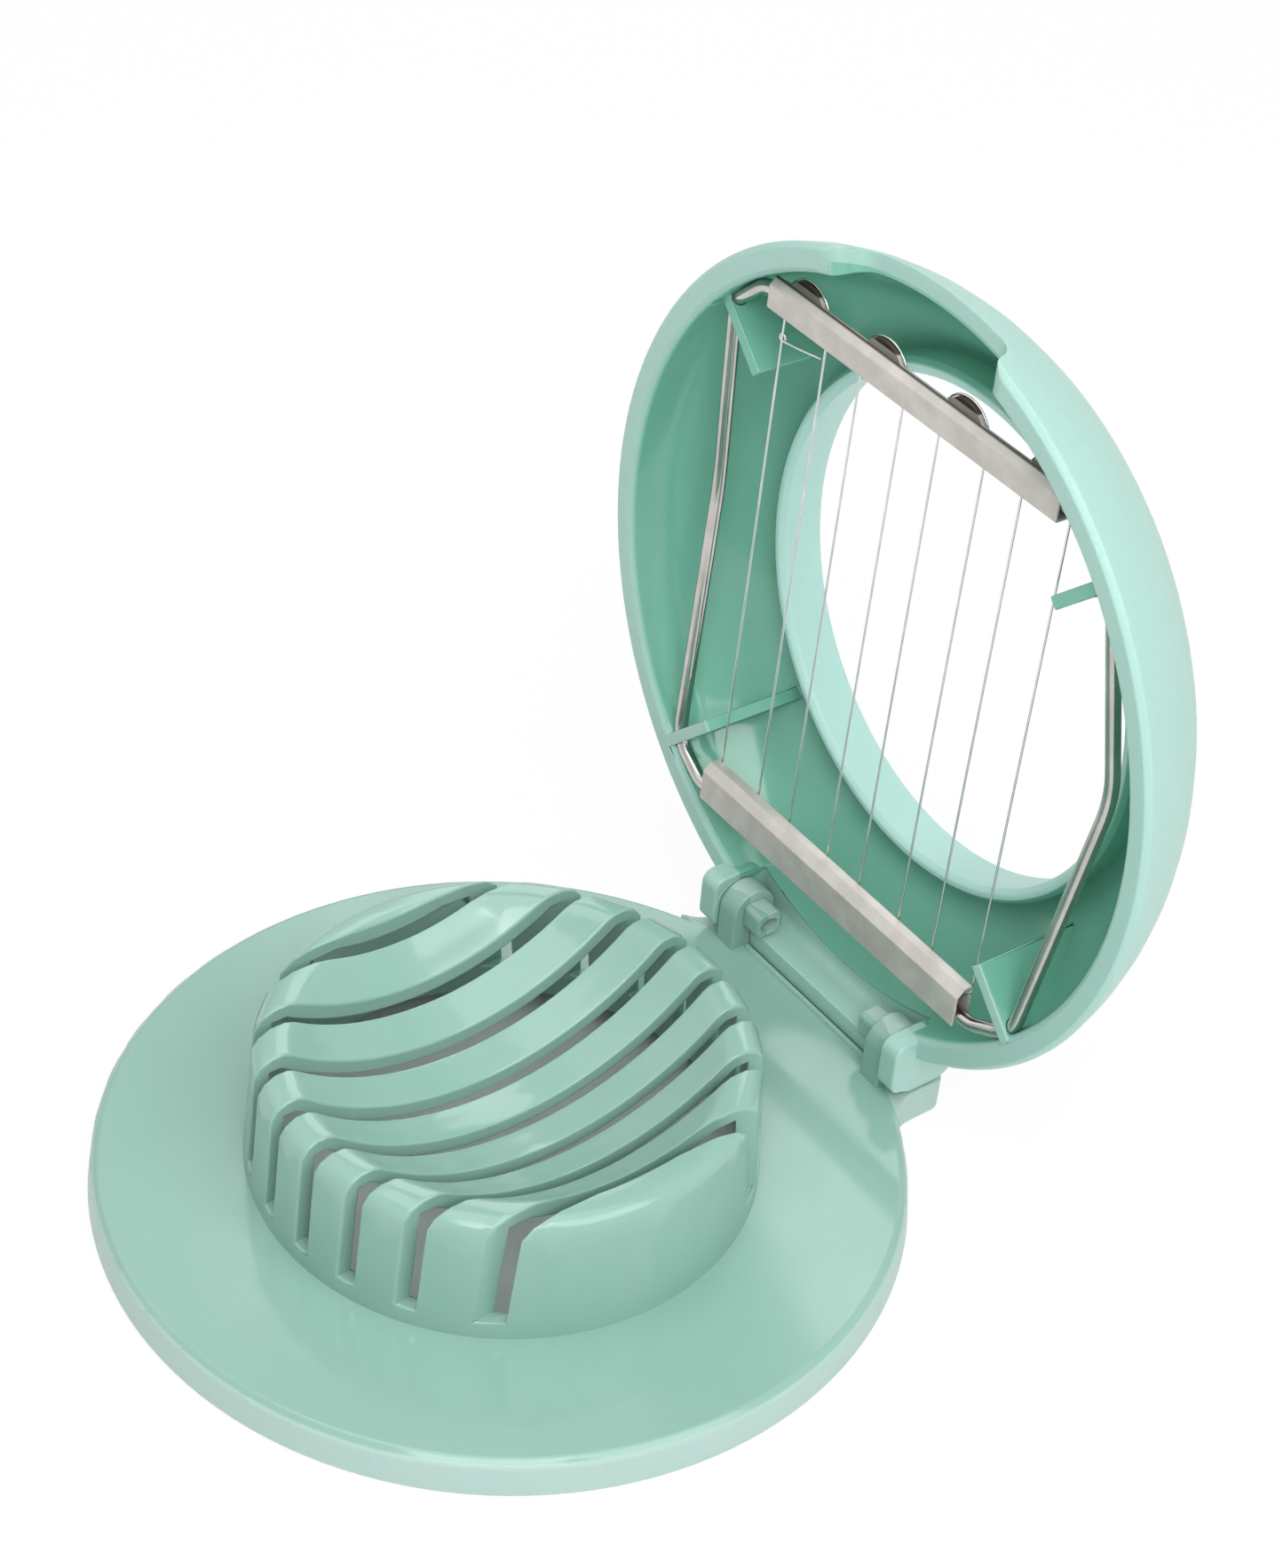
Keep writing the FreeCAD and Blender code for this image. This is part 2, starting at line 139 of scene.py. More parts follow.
noiseBand = (0.3, 0.7)  # the part of a noise's range that is used
plasticLook = {
    "cloudScale": 22,
    "cloudShare": 0.7,
    "flowScale": 90,
    "grainScale": 2400,
    "grainRoughness": 0.6,
    "shade": (0.92, 0.95, 0.94, 1),
    "glossRoughness": (0.09, 0.16),
    "textureRoughness": (0.33, 0.46),
    "flowBump": (0.05, 0.4 * mm),
    "grainBump": (0.6, 0.12 * mm),
    "refraction": 1.5,
    "scatter": 0.12,
    "scatterColour": (0.6, 1.0, 0.9),
    "scatterDepth": 2 * mm,
}


# moulded mint plastic: glossy skin, with a fine spark-eroded texture where the mask says so
def plasticGroup():
    look = plasticLook
    group = bpy.data.node_groups.new("mouldedPlastic", "ShaderNodeTree")
    for name, kind, way in (
        ("Texture", "NodeSocketFloat", "INPUT"),
        ("Body", "NodeSocketColor", "INPUT"),
        ("Pale", "NodeSocketColor", "INPUT"),
        ("Colour", "NodeSocketColor", "OUTPUT"),
        ("Roughness", "NodeSocketFloat", "OUTPUT"),
        ("Normal", "NodeSocketVector", "OUTPUT"),
    ):
        group.interface.new_socket(name=name, in_out=way, socket_type=kind)
    source = addNode(group, "NodeGroupInput").outputs
    target = addNode(group, "NodeGroupOutput").inputs
    point = objectPoint(group)
    cloud = noiseNode(group, point, look["cloudScale"], 2)
    flow = noiseNode(group, point, look["flowScale"], 4)
    grain = noiseNode(group, point, look["grainScale"], 2, look["grainRoughness"])
    broad = mathNode(group, "MULTIPLY", cloud, look["cloudShare"])
    narrow = mathNode(group, "MULTIPLY", flow, 1 - look["cloudShare"])
    tone = rangeNode(group, mathNode(group, "ADD", broad, narrow), *noiseBand, 0, 1)
    shaded = mixColour(group, tone, source["Body"], look["shade"], "MULTIPLY")
    smooth = rangeNode(group, flow, *noiseBand, *look["glossRoughness"])
    rough = rangeNode(group, grain, *noiseBand, *look["textureRoughness"])
    blend = addNode(group, "ShaderNodeMix", data_type="FLOAT")
    for slot, value in zip(blend.inputs[0:1] + blend.inputs[2:4], (source["Texture"], smooth, rough)):
        group.links.new(value, slot)
    soft = bumpNode(group, flow, *look["flowBump"])
    height = mathNode(group, "MULTIPLY", grain, source["Texture"])
    group.links.new(mixColour(group, source["Texture"], shaded, source["Pale"]), target["Colour"])
    group.links.new(blend.outputs[0], target["Roughness"])
    group.links.new(bumpNode(group, height, *look["grainBump"], soft), target["Normal"])
    return group


plastic = plasticGroup()


# paleOf gives the colour of the textured skin, for the lid with painted light on the collar
def plasticMaterial(name, body, maskOf, paleOf):
    material, tree, shader = newMaterial(name)
    group = addNode(tree, "ShaderNodeGroup", node_tree=plastic)
    group.inputs["Body"].default_value = body
    tree.links.new(maskOf(tree), group.inputs["Texture"])
    pale = paleOf(tree)
    if isinstance(pale, tuple):
        group.inputs["Pale"].default_value = pale
    else:
        tree.links.new(pale, group.inputs["Pale"])
    tree.links.new(group.outputs["Colour"], shader.inputs["Base Color"])
    tree.links.new(group.outputs["Roughness"], shader.inputs["Roughness"])
    tree.links.new(group.outputs["Normal"], shader.inputs["Normal"])
    shader.inputs["IOR"].default_value = plasticLook["refraction"]
    shader.inputs["Subsurface Weight"].default_value = plasticLook["scatter"]
    shader.inputs["Subsurface Radius"].default_value = plasticLook["scatterColour"]
    shader.inputs["Subsurface Scale"].default_value = plasticLook["scatterDepth"]
    return material


def plateDistance(tree):
    x, y, z = axes(tree)
    return spanNode(tree, x, mathNode(tree, "SUBTRACT", y, plateY))


baseLook = {
    "body": (0.280, 0.470, 0.400, 1),
    "pale": (0.400, 0.555, 0.510, 1),
    "edge": (1.0 * mm, 0.6 * mm),  # where the texture starts and is full, in from the plate's rim
}


# the plate's outer edge is textured, the rest of the base is glossy
def baseMask(tree):
    start, full = baseLook["edge"]
    return rangeNode(tree, plateDistance(tree), plateRadius - start, plateRadius - full, 0, 1)


def basePale(tree):
    return baseLook["pale"]


# the lid as it stands open, upright with its rim to the front
lidForm = {
    "halfWidth": 54.2 * mm,
    "halfLength": 57.7 * mm,
    "height": 23.0 * mm,
    "window": 35.4 * mm,
    "wall": 2.4 * mm,
    "collar": 9.0 * mm,
    "bow": 31.0 * mm,
    "axisHeight": hinge[2] + 53.2 * mm,
    "rimPlace": hinge[1] - 0.6 * mm,
}
lidLook = {
    "body": (0.195, 0.500, 0.386, 1),
    "pale": (0.385, 0.612, 0.545, 1),
    # painted light: the collar is painted paler to stand in for the light its thin wall lets through and
    # catches
    "collar": (0.500, 0.775, 0.715, 1),
    "skinBand": (0.25 * mm, 0.5 * mm),  # within the wall, from its inner face
    "rimBand": (0.3 * mm, 0.9 * mm),
    "collarBand": (0.1 * mm, 0.6 * mm),
    "collarFade": 0.5 * mm,
}


# centre of the arc that the dome's outer skin follows, as radius and height
def bowCentre(form):
    low = Vector((form["halfWidth"], 0))
    high = Vector((form["window"], form["height"]))
    chord = high - low
    inward = Vector((-chord.y, chord.x)).normalized()
    return (low + high) / 2 + inward * math.sqrt(form["bow"] ** 2 - (chord.length / 2) ** 2)


def windowDistance(tree):
    x, y, z = axes(tree)
    up = mathNode(tree, "SUBTRACT", z, lidForm["axisHeight"])
    return spanNode(tree, x, mathNode(tree, "MULTIPLY", up, lidForm["halfWidth"] / lidForm["halfLength"]))


# the wall round the window, inside the lid
def collarMask(tree):
    near, far = (lidForm["window"] + step for step in lidLook["collarBand"])
    hole = rangeNode(tree, windowDistance(tree), near, far, 1, 0)
    deep = lidForm["rimPlace"] + lidForm["height"] - lidForm["collar"]
    within = rangeNode(tree, axes(tree)[1], deep - lidLook["collarFade"], deep, 0, 1)
    return mathNode(tree, "MULTIPLY", hole, within)


# outer skin, rim and collar are textured, the inside is glossy
def lidMask(tree):
    centre = bowCentre(lidForm)
    y = axes(tree)[1]
    out = mathNode(tree, "SUBTRACT", windowDistance(tree), centre.x)
    rise = mathNode(tree, "SUBTRACT", mathNode(tree, "SUBTRACT", y, lidForm["rimPlace"]), centre.y)
    start, full = (lidForm["bow"] - lidForm["wall"] + step for step in lidLook["skinBand"])
    skin = rangeNode(tree, spanNode(tree, out, rise), start, full, 0, 1)
    near, far = (lidForm["rimPlace"] + step for step in lidLook["rimBand"])
    rim = rangeNode(tree, y, near, far, 1, 0)
    return mathNode(tree, "MAXIMUM", mathNode(tree, "MAXIMUM", skin, rim), collarMask(tree))


# pale textured colour, with painted light on the collar: it is painted paler than the rest of the skin
def lidPaleAndCollarLight(tree):
    return mixColour(tree, collarMask(tree), lidLook["pale"], lidLook["collar"])


steelLook = {
    "lineScale": 900,
    "lineRoughness": 0.6,
    "lineBump": (0.12, 0.05 * mm),
    "spotScale": 260,
    "spotBand": (0.35, 0.7),
    "spotShade": 0.86,
    # painted shade on the hooks: a dark brown standing in for shade and mirrored dark surroundings
    "tarnish": (0.075, 0.058, 0.045, 1),
}


# bright drawn or rolled steel, with fine draw lines along one axis, and painted shade where a shade mask is
# given
def steelMaterial(name, stretch, tint, roughness, metal=1, shadeMaskOf=None):
    look = steelLook
    material, tree, shader = newMaterial(name)
    mapping = addNode(tree, "ShaderNodeMapping")
    tree.links.new(objectPoint(tree), mapping.inputs[0])
    mapping.inputs["Scale"].default_value = stretch
    lines = noiseNode(tree, mapping.outputs[0], look["lineScale"], 3, look["lineRoughness"])
    spots = noiseNode(tree, objectPoint(tree), look["spotScale"], 3)
    dark = tuple(value * look["spotShade"] for value in tint[:3]) + (1,)
    colour = mixColour(tree, rangeNode(tree, spots, *look["spotBand"], 0, 1), dark, tint)
    # painted shade: where the mask says so, the colour is darkened to the painted shade colour
    if shadeMaskOf:
        colour = mixColour(tree, shadeMaskOf(tree), colour, look["tarnish"])
    tree.links.new(colour, shader.inputs["Base Color"])
    tree.links.new(rangeNode(tree, lines, *noiseBand, *roughness), shader.inputs["Roughness"])
    tree.links.new(bumpNode(tree, lines, *look["lineBump"]), shader.inputs["Normal"])
    shader.inputs["Metallic"].default_value = metal
    return material


hookForm = {"stand": 0.75 * mm, "fade": 0.1 * mm}


# painted shade: the hooks that stand out past the front bar are darkened to stand in for the shade they lie
# in and the dark surroundings they mirror
def hookShadeMask(tree):
    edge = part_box("front_bar")[1][2] - hookForm["stand"]
    return rangeNode(tree, axes(tree)[2], edge - hookForm["fade"], edge + hookForm["fade"], 0, 1)


basePlastic = plasticMaterial("basePlastic", baseLook["body"], baseMask, basePale)
lidPlastic = plasticMaterial("lidPlastic", lidLook["body"], lidMask, lidPaleAndCollarLight)
rodSteel = steelMaterial("rodSteel", (1, 1, 0.05), (0.60, 0.575, 0.545, 1), (0.10, 0.22))
# the bar's hooks get painted shade
barSteel = steelMaterial("barSteel", (0.04, 1, 1), (0.62, 0.585, 0.545, 1), (0.38, 0.50), 0.3, hookShadeMask)
wireSteel = steelMaterial("wireSteel", (1, 1, 0.05), (0.80, 0.79, 0.78, 1), (0.14, 0.26))
print("stage: materials made")


def placeObject(name, data):
    thing = bpy.data.objects.new(name, data)
    bpy.context.scene.collection.objects.link(thing)
    return thing


def keepPiece(name, mesh, material, body, slot, *replaced):
    mesh.materials.clear()
    mesh.materials.append(material)
    piece = placeObject(name, mesh)
    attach(piece, body)
    if replaced:
        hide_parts(*replaced)


def appliedMesh(holder):
    graph = bpy.context.evaluated_depsgraph_get()
    mesh = bpy.data.meshes.new_from_object(holder.evaluated_get(graph))
    bpy.data.objects.remove(holder)
    return mesh


# applies the modifiers, then shades flats flat and roundings round
def plainMesh(holder, smooth=40):
    name = holder.name
    mesh = appliedMesh(holder)
    mesh.shade_smooth()
    mesh.set_sharp_from_angle(angle=math.radians(smooth))
    holder = placeObject(name, mesh)
    shading = holder.modifiers.new("shading", "WEIGHTED_NORMAL")
    shading.keep_sharp = True
    return appliedMesh(holder)


# the notch's outer edge lies above a crest, which falls by fall times x squared, all in metres
notchForm = {
    "end": 14.4 * mm,
    "crest": 54.8 * mm,
    "fall": 12.0,
    "depth": 5.05 * mm,
    "radius": 1.0 * mm,
    "corner": 30,
    "steps": 4,
}


# rounds the outer edge of the thumb notch more than the other corners
def softenNotch(work):
    form = notchForm

    def onEdge(vert):
        x = abs(vert.co.x)
        up = vert.co.z - lidForm["axisHeight"]
        depth = vert.co.y - lidForm["rimPlace"]
        return x < form["end"] and up > form["crest"] - form["fall"] * x * x and depth < form["depth"]

    edges = [edge for edge in work.edges if all(onEdge(vert) for vert in edge.verts)]
    edges = [edge for edge in edges if edge.calc_face_angle(0) > math.radians(form["corner"])]
    bmesh.ops.bevel(
        work,
        geom=edges,
        offset=form["radius"],
        offset_type="OFFSET",
        segments=form["steps"],
        profile=0.5,
        affect="EDGES",
        clamp_overlap=True,
    )


# lengths in metres, angles in degrees; inner says whether inside corners are eased too
baseEase = {
    "weld": 0.002 * mm,
    "flat": 0.5,
    "corner": 38,
    "radius": 0.35 * mm,
    "steps": 2,
    "smooth": 34,
    "inner": False,
}
barEase = {**baseEase, "corner": 40, "radius": 0.08 * mm}
lidEase = {**baseEase, "weld": 0.06 * mm, "flat": 0.2, "corner": 42, "radius": 0.2 * mm, "inner": True}


# a copy of a moulded or folded solid with its hard corners eased
def easedCopy(node, form, extra=None):
    mesh = nodes[node].data.copy()
    work = bmesh.new()
    work.from_mesh(mesh)
    bmesh.ops.remove_doubles(work, verts=work.verts, dist=form["weld"])
    bmesh.ops.dissolve_degenerate(work, edges=work.edges, dist=form["weld"])
    flat = math.radians(form["flat"])
    bmesh.ops.dissolve_limit(work, angle_limit=flat, verts=work.verts, edges=work.edges)
    if extra:
        extra(work)
    weight = work.edges.layers.float.new("bevel_weight_edge")
    for edge in work.edges:
        eased = form["inner"] or edge.is_convex
        if eased and edge.calc_face_angle(0) > math.radians(form["corner"]):
            edge[weight] = 1
    work.to_mesh(mesh)
    work.free()
    holder = placeObject(node + "_rough", mesh)
    ease = holder.modifiers.new("ease", "BEVEL")
    ease.limit_method = "WEIGHT"
    ease.width = form["radius"]
    ease.segments = form["steps"]
    ease.use_clamp_overlap = False
    ease.miter_outer = "MITER_ARC"
    return plainMesh(holder, form["smooth"])


keepPiece("baseShell", easedCopy("base", baseEase), basePlastic, "base", "base_plastic", "base")
keepPiece("lidShell", easedCopy("lid", lidEase, softenNotch), lidPlastic, "lid", "lid_plastic", "lid")
for bar in ("front_bar", "hinge_bar"):
    keepPiece(bar + "_fold", easedCopy(bar, barEase), barSteel, "lid", "bar_steel", bar)
print("stage: mouldings and bars eased")


# round wire or rod: a path gets a round section, and the bar is repeated along a row
def roundBarTree():
    tree = bpy.data.node_groups.new("roundBar", "GeometryNodeTree")
    for name, kind in (
        ("Path", "NodeSocketGeometry"),
        ("Radius", "NodeSocketFloat"),
        ("Sides", "NodeSocketInt"),
        ("Copies", "NodeSocketInt"),
        ("Spacing", "NodeSocketVector"),
        ("Finish", "NodeSocketMaterial"),
    ):
        tree.interface.new_socket(name=name, in_out="INPUT", socket_type=kind)
    tree.interface.new_socket(name="Bars", in_out="OUTPUT", socket_type="NodeSocketGeometry")
    source = addNode(tree, "NodeGroupInput").outputs
    ring = addNode(tree, "GeometryNodeCurvePrimitiveCircle")
    bar = addNode(tree, "GeometryNodeCurveToMesh")
    row = addNode(tree, "GeometryNodeMeshLine")
    copies = addNode(tree, "GeometryNodeInstanceOnPoints")
    real = addNode(tree, "GeometryNodeRealizeInstances")
    finish = addNode(tree, "GeometryNodeSetMaterial")
    target = addNode(tree, "NodeGroupOutput")
    bar.inputs["Fill Caps"].default_value = True
    for start, end in (
        (source["Sides"], ring.inputs["Resolution"]),
        (source["Radius"], ring.inputs["Radius"]),
        (source["Path"], bar.inputs["Curve"]),
        (ring.outputs["Curve"], bar.inputs["Profile Curve"]),
        (source["Copies"], row.inputs["Count"]),
        (source["Spacing"], row.inputs["Offset"]),
        (row.outputs["Mesh"], copies.inputs["Points"]),
        (bar.outputs["Mesh"], copies.inputs["Instance"]),
        (copies.outputs["Instances"], real.inputs["Geometry"]),
        (real.outputs["Geometry"], finish.inputs["Geometry"]),
        (source["Finish"], finish.inputs["Material"]),
        (finish.outputs["Geometry"], target.inputs["Bars"]),
    ):
        tree.links.new(start, end)
    return tree


barTree = roundBarTree()
barSmooth = 50  # degrees; the end caps stay sharp


def roundBars(name, points, form, finish, copies=1, spacing=0.0):
    curve = bpy.data.curves.new(name + "_path", "CURVE")
    curve.dimensions = "3D"
    spline = curve.splines.new("POLY")
    spline.points.add(len(points) - 1)
    for target, point in zip(spline.points, points):
        target.co = (*point, 1)
    holder = placeObject(name + "_path", curve)
    modifier = holder.modifiers.new("bars", "NODES")
    modifier.node_group = barTree
    values = {
        "Radius": form["radius"] * mm,
        "Sides": form["sides"],
        "Copies": copies,
        "Spacing": (spacing, 0.0, 0.0),
        "Finish": finish,
    }
    for item in barTree.interface.items_tree:
        if item.name in values:
            modifier[item.identifier] = values[item.name]
    mesh = appliedMesh(holder)
    mesh.shade_smooth()
    mesh.set_sharp_from_angle(angle=math.radians(barSmooth))
    return mesh


# places on the lid are given as it lies closed, in millimetres, and turned open about the hinge
closedForm = {"turn": 91.7, "hinge": (0, 53.2, 11.3)}


def onLid(x, y, z):
    spoke = (Vector((x, y, z)) - Vector(closedForm["hinge"])) * mm
    return Vector(hinge) + Matrix.Rotation(-math.radians(closedForm["turn"]), 3, "X") @ spoke


# corner points joined by arcs, each corner with its own bend radius
def bentPath(corners, bends, steps):
    corners = [Vector(corner) for corner in corners]
    path = [corners[0]]
    for before, corner, after, bend in zip(corners, corners[1:], corners[2:], bends):
        inward = (before - corner).normalized()
        outward = (after - corner).normalized()
        half = inward.angle(outward) / 2
        middle = corner + (inward + outward).normalized() * (bend / math.sin(half))
        first = corner + inward * (bend / math.tan(half)) - middle
        last = corner + outward * (bend / math.tan(half)) - middle
        turn = first.rotation_difference(last)
        for step in range(steps + 1):
            part = Matrix.Identity(3).to_quaternion().slerp(turn, step / steps)
            path.append(middle + part @ first)
    path.append(corners[-1])
    return [onLid(*point) for point in path]


# hairpins, in millimetres: two runs a pair apart, round a hook at the tip, with tails bent into holes
wireForm = {
    "radius": 0.16,
    "sides": 10,
    "count": 4,
    "pair": 8.5,
    "pitch": 15.55,
    "level": 12.75,
    "tip": -44.75,
    "hole": 36.45,
    "tailBend": 0.6,
    "tailLength": 1.8,
    "slack": 0.001,  # keeps the two bends of a loop from touching
    "steps": 8,
}


def firstRun():
    return -(wireForm["count"] - 1) / 2 * wireForm["pitch"] - wireForm["pair"] / 2


def buildWires():
    form = wireForm
    left = firstRun()
    right = left + form["pair"]
    low = form["level"] - form["tailLength"]
    corners = [
        (left, form["hole"], low),
        (left, form["hole"], form["level"]),
        (left, form["tip"], form["level"]),
        (right, form["tip"], form["level"]),
        (right, form["hole"], form["level"]),
        (right, form["hole"], low),
    ]
    loop = form["pair"] / 2 - form["slack"]
    path = bentPath(corners, [form["tailBend"], loop, loop, form["tailBend"]], form["steps"])
    mesh = roundBars("wire", path, form, wireSteel, form["count"], form["pitch"] * mm)
    replaced = [f"cutting_wire_{number}" for number in range(1, form["count"] + 1)]
    keepPiece("cuttingWires", mesh, wireSteel, "lid", "wire_steel", *replaced)


# right rod, in millimetres, from the hinge bar to the front bar
rodForm = {
    "radius": 1.0,
    "sides": 20,
    "bend": 5.0,
    "bow": 25.0,
    "steps": 8,
    "corners": [
        (19, 39.5, 11.1),
        (30, 39.5, 11.1),
        (36.6, 36.6, 11.9),
        (40.4, -4.0, 16.5),
        (36.8, -35.6, 12.1),
        (30, -41.55, 11.1),
        (19, -41.55, 11.1),
    ],
}


def buildRods():
    form = rodForm
    bends = [form["bend"], form["bend"], form["bow"], form["bend"], form["bend"]]
    for name, side in (("left_rod", -1), ("right_rod", 1)):
        corners = [(side * x, y, z) for x, y, z in form["corners"]]
        mesh = roundBars(name, bentPath(corners, bends, form["steps"]), form, rodSteel)
        keepPiece(name + "_bend", mesh, rodSteel, "lid", "rod_steel", name)


slabEase = {"corner": 50, "steps": 3}


# slab with the given side outline, in metres, running from one x to another
def slab(name, outline, start, end, radius=None):
    work = bmesh.new()
    side = work.faces.new([work.verts.new((start, y, z)) for y, z in outline])
    grown = bmesh.ops.extrude_face_region(work, geom=[side])
    moved = [item for item in grown["geom"] if isinstance(item, bmesh.types.BMVert)]
    bmesh.ops.translate(work, verts=moved, vec=(end - start, 0, 0))
    bmesh.ops.recalc_face_normals(work, faces=work.faces)
    mesh = bpy.data.meshes.new(name)
    work.to_mesh(mesh)
    work.free()
    holder = placeObject(name, mesh)
    if radius:
        ease = holder.modifiers.new("ease", "BEVEL")
        ease.limit_method = "ANGLE"
        ease.angle_limit = math.radians(slabEase["corner"])
        ease.width = radius
        ease.segments = slabEase["steps"]
    return holder


def arcPoints(centre, radius, start, end, steps):
    angles = [math.radians(start + (end - start) * step / steps) for step in range(steps + 1)]
    return [(centre[0] + radius * math.cos(angle), centre[1] + radius * math.sin(angle)) for angle in angles]


def roundedSquare(centre, half, radius, steps):
    inner = half - radius
    outline = []
    for turn, (y, z) in enumerate(((1, 1), (-1, 1), (-1, -1), (1, -1))):
        corner = (centre[0] + y * inner, centre[1] + z * inner)
        outline += arcPoints(corner, radius, 90 * turn, 90 * turn + 90, steps)
    return outline


hingeAxis = (hinge[1], hinge[2])
boreForm = {"steps": 32, "past": 1.0 * mm}  # past is how far a bore starts outside the piece


# cuts an oval hole about the hinge axis into the piece
def boredMesh(holder, radii, start, end):
    angles = [2 * math.pi * step / boreForm["steps"] for step in range(boreForm["steps"])]
    outline = []
    for angle in angles:
        outline.append((hingeAxis[0] + radii[0] * math.cos(angle), hingeAxis[1] + radii[1] * math.sin(angle)))
    core = slab("core", outline, start, end)
    cut = holder.modifiers.new("bore", "BOOLEAN")
    cut.object = core
    mesh = plainMesh(holder)
    bpy.data.objects.remove(core)
    return mesh


earForm = {
    "inside": 14.74 * mm,
    "outside": 18.37 * mm,
    "radius": 3.6 * mm,
    "foot": 5.3 * mm,
    "ease": 0.3 * mm,
    "bore": 1.75 * mm,
    "steps": 32,
}


# rounded ear on the base, bored for the lid's pin
def buildEar(name, side):
    form = earForm
    back = hingeAxis[0] + form["radius"]
    front = hingeAxis[0] - form["radius"]
    crown = arcPoints(hingeAxis, form["radius"], 0, 180, form["steps"])
    outline = [(back, form["foot"]), *crown, (front, form["foot"])]
    ear = slab(name, outline, side * form["inside"], side * form["outside"], form["ease"])
    start = side * (form["inside"] - boreForm["past"])
    end = side * (form["outside"] + boreForm["past"])
    mesh = boredMesh(ear, (form["bore"], form["bore"]), start, end)
    keepPiece(name, mesh, basePlastic, "base", "base_plastic")


bossForm = {
    "reach": 3.4 * mm,
    "half": 2.0 * mm,
    "round": 0.9 * mm,
    "ease": 0.2 * mm,
    "hole": (1.5 * mm, 1.05 * mm),
    "depth": 2.8 * mm,
    "sunk": 0.02 * mm,
    "steps": 6,
}


# cored boss on the ear's inner face
def buildBoss(name, side):
    form = bossForm
    outline = roundedSquare(hingeAxis, form["half"], form["round"], form["steps"])
    start = side * (earForm["inside"] - form["reach"])
    block = slab(name, outline, start, side * (earForm["inside"] + form["sunk"]), form["ease"])
    mesh = boredMesh(block, form["hole"], start - side * boreForm["past"], start + side * form["depth"])
    keepPiece(name, mesh, basePlastic, "base", "base_plastic")


lugForm = {
    "inside": 18.72 * mm,
    "outside": 22.05 * mm,
    "half": 4.3 * mm,
    "round": 1.9 * mm,
    "ease": 0.35 * mm,
    "steps": 8,
}


# squared block round each outer hinge lug
def buildLug(name, side):
    form = lugForm
    outline = roundedSquare(hingeAxis, form["half"], form["round"], form["steps"])
    lug = slab(name, outline, side * form["inside"], side * form["outside"], form["ease"])
    keepPiece(name, plainMesh(lug), lidPlastic, "lid", "lid_plastic")


sillForm = {
    "half": 14.3 * mm,
    "front": 1.75 * mm,
    "back": 0.85 * mm,
    "top": 6.05 * mm,
    "slope": 0.35 * mm,
    "ease": 0.2 * mm,
}


# low sill on the plate that closes the gap under the hinge panel
def buildSill():
    form = sillForm
    front = hinge[1] - form["front"]
    back = hinge[1] - form["back"]
    foot = earForm["foot"]
    outline = [(front, foot), (back, foot), (back, form["top"]), (front + form["slope"], form["top"])]
    sill = slab("hingeSill", outline, -form["half"], form["half"], form["ease"])
    keepPiece("hingeSill", plainMesh(sill), basePlastic, "base", "base_plastic")


lipForm = {
    "half": 14.2 * mm,
    "front": 0.55 * mm,
    "back": 1.0 * mm,
    "low": 5.7 * mm,
    "high": 6.6 * mm,
    "ease": 0.1 * mm,
}


# lip along the foot of the hinge panel, close above the plate
def buildLip():
    form = lipForm
    front = hinge[1] - form["front"]
    back = hinge[1] + form["back"]
    outline = [(front, form["low"]), (back, form["low"]), (back, form["high"]), (front, form["high"])]
    lip = slab("hingeLip", outline, -form["half"], form["half"], form["ease"])
    keepPiece("hingeLip", plainMesh(lip), lidPlastic, "lid", "lid_plastic")


# in millimetres; the tail runs from beside the second wire to the loop on the first
eyeletForm = {
    "radius": 0.5,
    "turns": 1.25,
    "steps": 20,
    "place": -34.4,
    "lift": 0.3,
    "tail": [(-19.4, -35.6, 12.6), (-23.0, -34.8, 12.65)],
}


def buildEyelet():
    form = eyeletForm
    path = [onLid(*point) for point in form["tail"]]
    for step in range(form["steps"] + 1):
        angle = math.pi / 2 + 2 * math.pi * form["turns"] * step / form["steps"]
        x = firstRun() + form["radius"] * math.cos(angle)
        y = form["place"] + form["radius"] * math.sin(angle)
        path.append(onLid(x, y, wireForm["level"] + form["lift"] * step / form["steps"]))
    keepPiece("wireEyelet", roundBars("eyelet", path, wireForm, wireSteel), wireSteel, "lid", "wire_steel")


buildWires()
buildRods()
for ear, side in (("leftEar", -1), ("rightEar", 1)):
    buildEar(ear, side)
    buildBoss(ear + "_boss", side)
for lug, side in (("leftLug", -1), ("rightLug", 1)):
    buildLug(lug, side)
buildSill()
buildLip()
buildEyelet()
print("stage: pieces built")


floorForm = {
    "half": 3.0,
    "drop": 0.2 * mm,
    "colours": ((0.88, 0.885, 0.885, 1), (0.90, 0.90, 0.90, 1)),
    "cloudScale": 6,
    "roughness": 0.8,
    "glow": 1.0,
    "glowShare": 0.92,
    "dark": (4 * mm, 2 * mm),  # under the plate the glow fades out this far in from its rim
}


